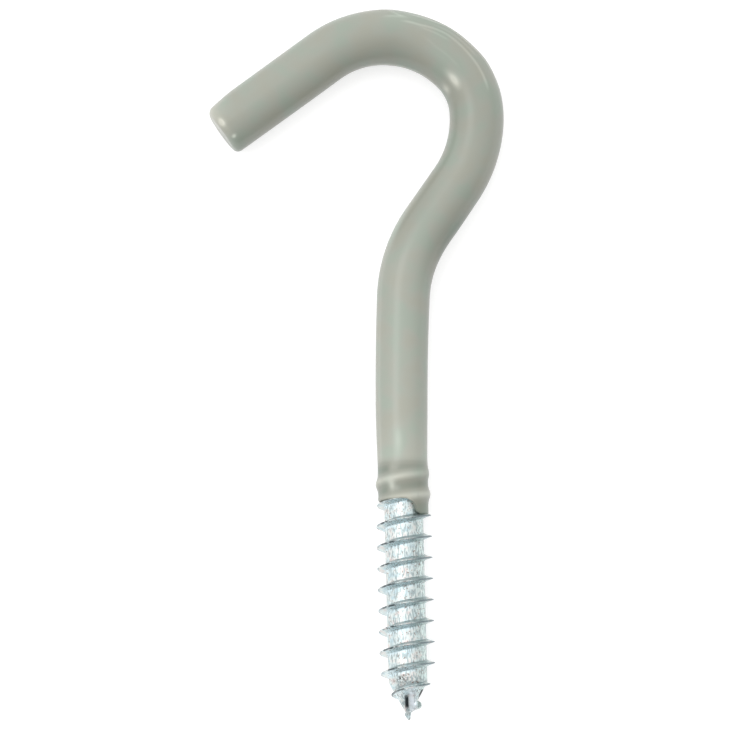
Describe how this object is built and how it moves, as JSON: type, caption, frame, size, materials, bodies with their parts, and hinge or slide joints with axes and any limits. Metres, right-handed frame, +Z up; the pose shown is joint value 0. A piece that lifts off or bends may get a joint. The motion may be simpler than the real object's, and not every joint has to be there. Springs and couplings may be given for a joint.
{
  "type": "screw hook",
  "caption": "Open bent-wire hook with a coarse wood-screw thread and fluted point; grey vinyl skin dipped over the hook end, bright zinc thread left bare.",
  "frame": {"origin": "on the surface the hook lies on, under the middle of its length and width", "axes": "+Y along the thread's axis from the point to the hook, +Z up and square to the hook's plane, +X across, with the bight and the open arm on the -X side of the loop"},
  "size_m": [0.0446, 0.108, 0.0084],
  "materials": {
    "zinc_plated_steel": "bright zinc plate over rolled steel",
    "grey_vinyl": "satin dipped vinyl, sage grey"
  },
  "bodies": {
    "root": {"steel_hook": "zinc_plated_steel", "vinyl_coat": "grey_vinyl"}
  },
  "joints": []
}
